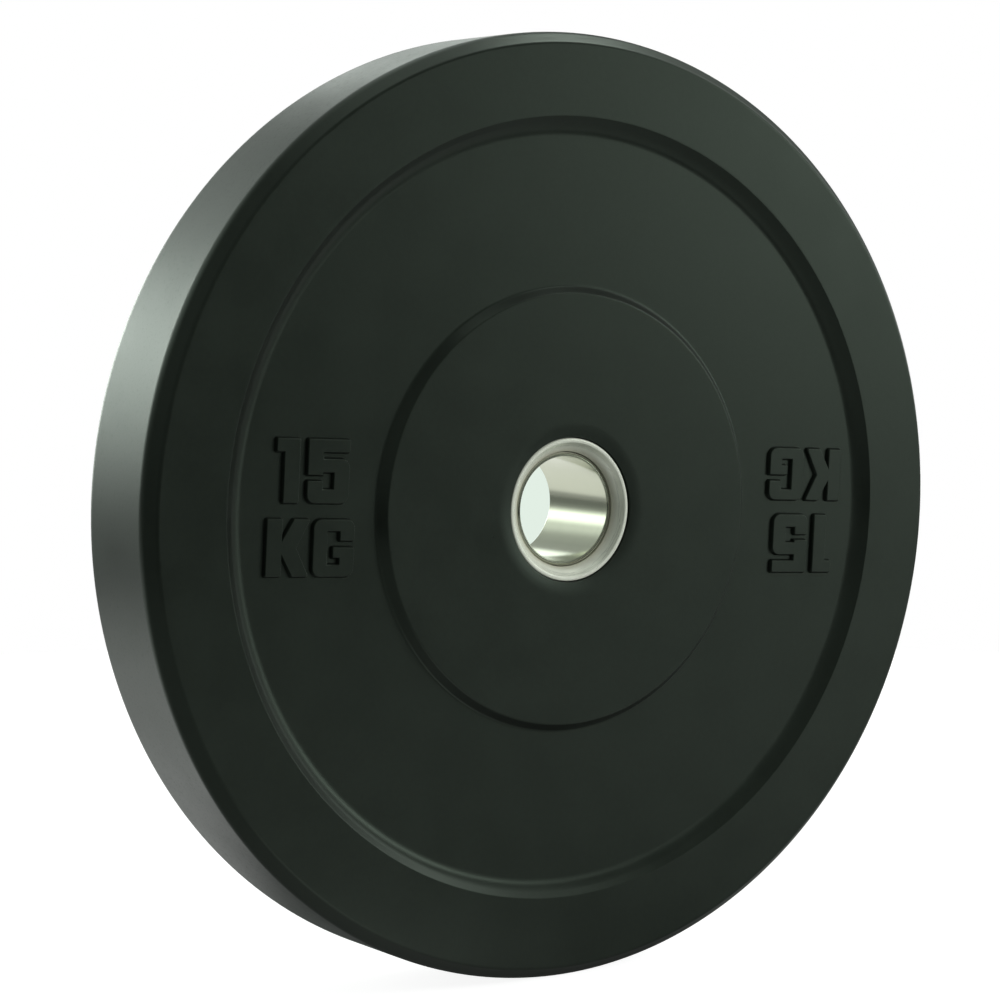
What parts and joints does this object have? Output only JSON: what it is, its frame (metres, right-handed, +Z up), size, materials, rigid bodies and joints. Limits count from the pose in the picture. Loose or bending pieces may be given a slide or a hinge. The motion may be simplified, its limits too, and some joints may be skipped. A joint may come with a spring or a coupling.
{
  "type": "bumper plate",
  "caption": "Round rubber weight plate with a raised hub and rim ring on both faces, moulded round a flared steel bore insert for a 50 mm bar sleeve.",
  "frame": {"origin": "centre of the bore, halfway through the plate's thickness", "axes": "+Y along the bore's axis from the front face to the back face, +Z up, +X to the right seen from the front"},
  "size_m": [0.45, 0.061, 0.45],
  "materials": {
    "rubber": "matt moulded rubber with a fine mottle, dark grey with a green cast",
    "bore_steel": "satin turned stainless steel, brighter on the lip",
    "anchor_steel": "primed mild steel, hidden inside the rubber"
  },
  "bodies": {
    "root": {"rubber_body": "rubber", "bore_sleeve": "bore_steel", "flange_ring_front": "bore_steel", "flange_ring_back": "bore_steel", "anchor_disc": "anchor_steel"}
  },
  "joints": []
}
